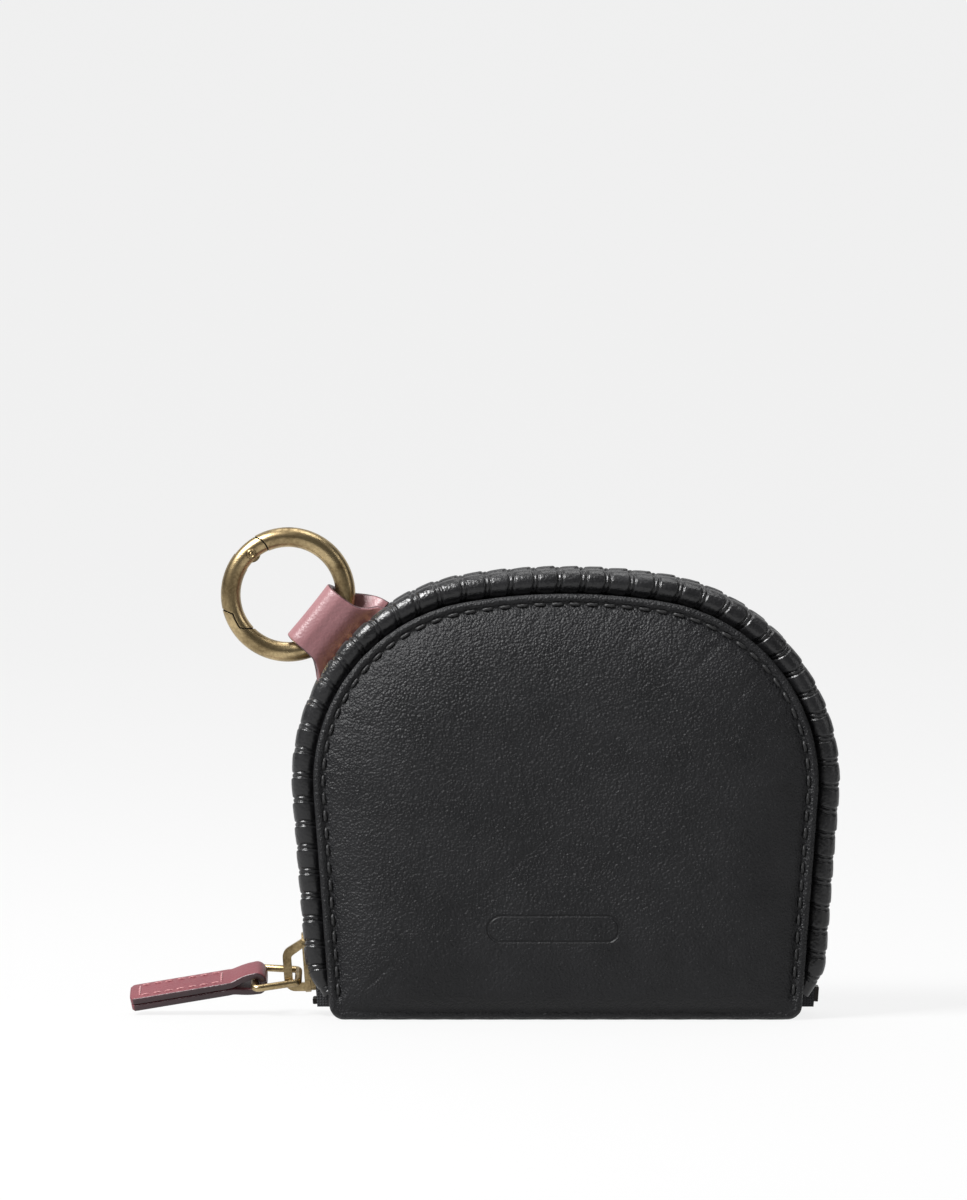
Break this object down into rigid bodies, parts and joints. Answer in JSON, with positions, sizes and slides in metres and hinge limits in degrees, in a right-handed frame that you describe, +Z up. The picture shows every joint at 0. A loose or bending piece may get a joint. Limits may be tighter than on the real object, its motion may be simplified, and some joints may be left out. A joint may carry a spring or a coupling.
{
  "type": "coin purse",
  "caption": "Half-round zip-around coin purse: two padded leather halves that fold open on a flat spine, wrapped piping, leather zip puller and a spring gate ring on a leather loop.",
  "frame": {"origin": "centre of the spine's underside, on the surface the purse stands on", "axes": "+X to the right along the spine, -Y out of the front panel, +Z up"},
  "size_m": [0.1428, 0.026, 0.0983],
  "materials": {
    "cover_leather": "fine pebble grain, soft sheen",
    "piping_leather": "smooth, slightly glossier",
    "foam": "thin padding",
    "lining": "fine twill",
    "cord": "braided filler cord",
    "zip_tape": "woven herringbone tape",
    "zip_brass": "antique brass",
    "antique_brass": "antique brass, brushed and lacquered",
    "black_thread": "waxed polyester thread",
    "puller_leather": "burgundy, painted dark edges",
    "puller_thread": "waxed polyester thread",
    "tab_leather": "dusty rose, smooth",
    "spring_steel": "drawn wire"
  },
  "bodies": {
    "back": {"spine": "cover_leather", "spine_lining": "lining", "back_cover": "cover_leather", "back_padding": "foam", "back_lining": "lining", "slip_pocket": "lining", "back_piping_cord": "cord", "back_piping_wrap": "piping_leather", "back_zip_tape": "zip_tape", "back_zip_teeth": "zip_brass", "back_top_stop": "zip_brass", "bottom_stop": "zip_brass", "back_stitching": "black_thread", "ring_tab_root": "tab_leather"},
    "front": {"front_cover": "cover_leather", "front_padding": "foam", "front_lining": "lining", "front_piping_cord": "cord", "front_piping_wrap": "piping_leather", "front_zip_tape": "zip_tape", "front_zip_teeth": "zip_brass", "front_top_stop": "zip_brass", "front_stitching": "black_thread"},
    "slider": {"slider_body": "antique_brass", "slider_bridge": "antique_brass"},
    "link": {"pull_link": "antique_brass"},
    "puller": {"puller_leather": "puller_leather", "puller_stitching": "puller_thread"},
    "tab": {"ring_tab": "tab_leather"},
    "ring": {"ring_body": "antique_brass", "gate_pin": "antique_brass"},
    "gate": {"ring_gate": "antique_brass", "gate_spring": "spring_steel"}
  },
  "joints": [
    {"name": "cover_open", "type": "hinge", "parent": "back", "child": "front", "pos_m": [0, -0.0104, 0.0027], "axis": [1, 0, 0], "range_deg": [0, 90], "deforming": ["front_zip_tape", "front_zip_teeth", "front_top_stop"]},
    {"name": "slider_travel", "type": "slide", "parent": "back", "child": "slider", "axis": [-0.0767, 0, 0.9971], "range_m": [0, 0.028], "deforming": ["back_zip_teeth"]},
    {"name": "link_swing", "type": "hinge", "parent": "slider", "child": "link", "pos_m": [-0.05385, 0, 0.0078], "axis": [0, 0.9397, 0.342], "range_deg": [0, 75]},
    {"name": "puller_swing", "type": "hinge", "parent": "link", "child": "puller", "pos_m": [-0.06264, 0.00016, 0.00737], "axis": [0, -0.9397, -0.342], "range_deg": [-60, 0]},
    {"name": "tab_flex", "type": "hinge", "parent": "back", "child": "tab", "pos_m": [-0.04431, 0.004, 0.0753], "axis": [0.6293, 0, 0.7771], "range_deg": [-30, 45], "stiffness_Nm_per_rad": 0.004, "deforming": ["ring_tab"]},
    {"name": "ring_spin", "type": "hinge", "parent": "tab", "child": "ring", "pos_m": [-0.05596, 0.004, 0.08474], "axis": [0, 1, 0], "range_deg": [-60, 105]},
    {"name": "gate_open", "type": "hinge", "parent": "ring", "child": "gate", "pos_m": [-0.06332, 0.004, 0.093], "axis": [0, -1, 0], "range_deg": [0, 32], "stiffness_Nm_per_rad": 0.02, "springref_deg": -8.59, "deforming": ["gate_spring"]}
  ]
}
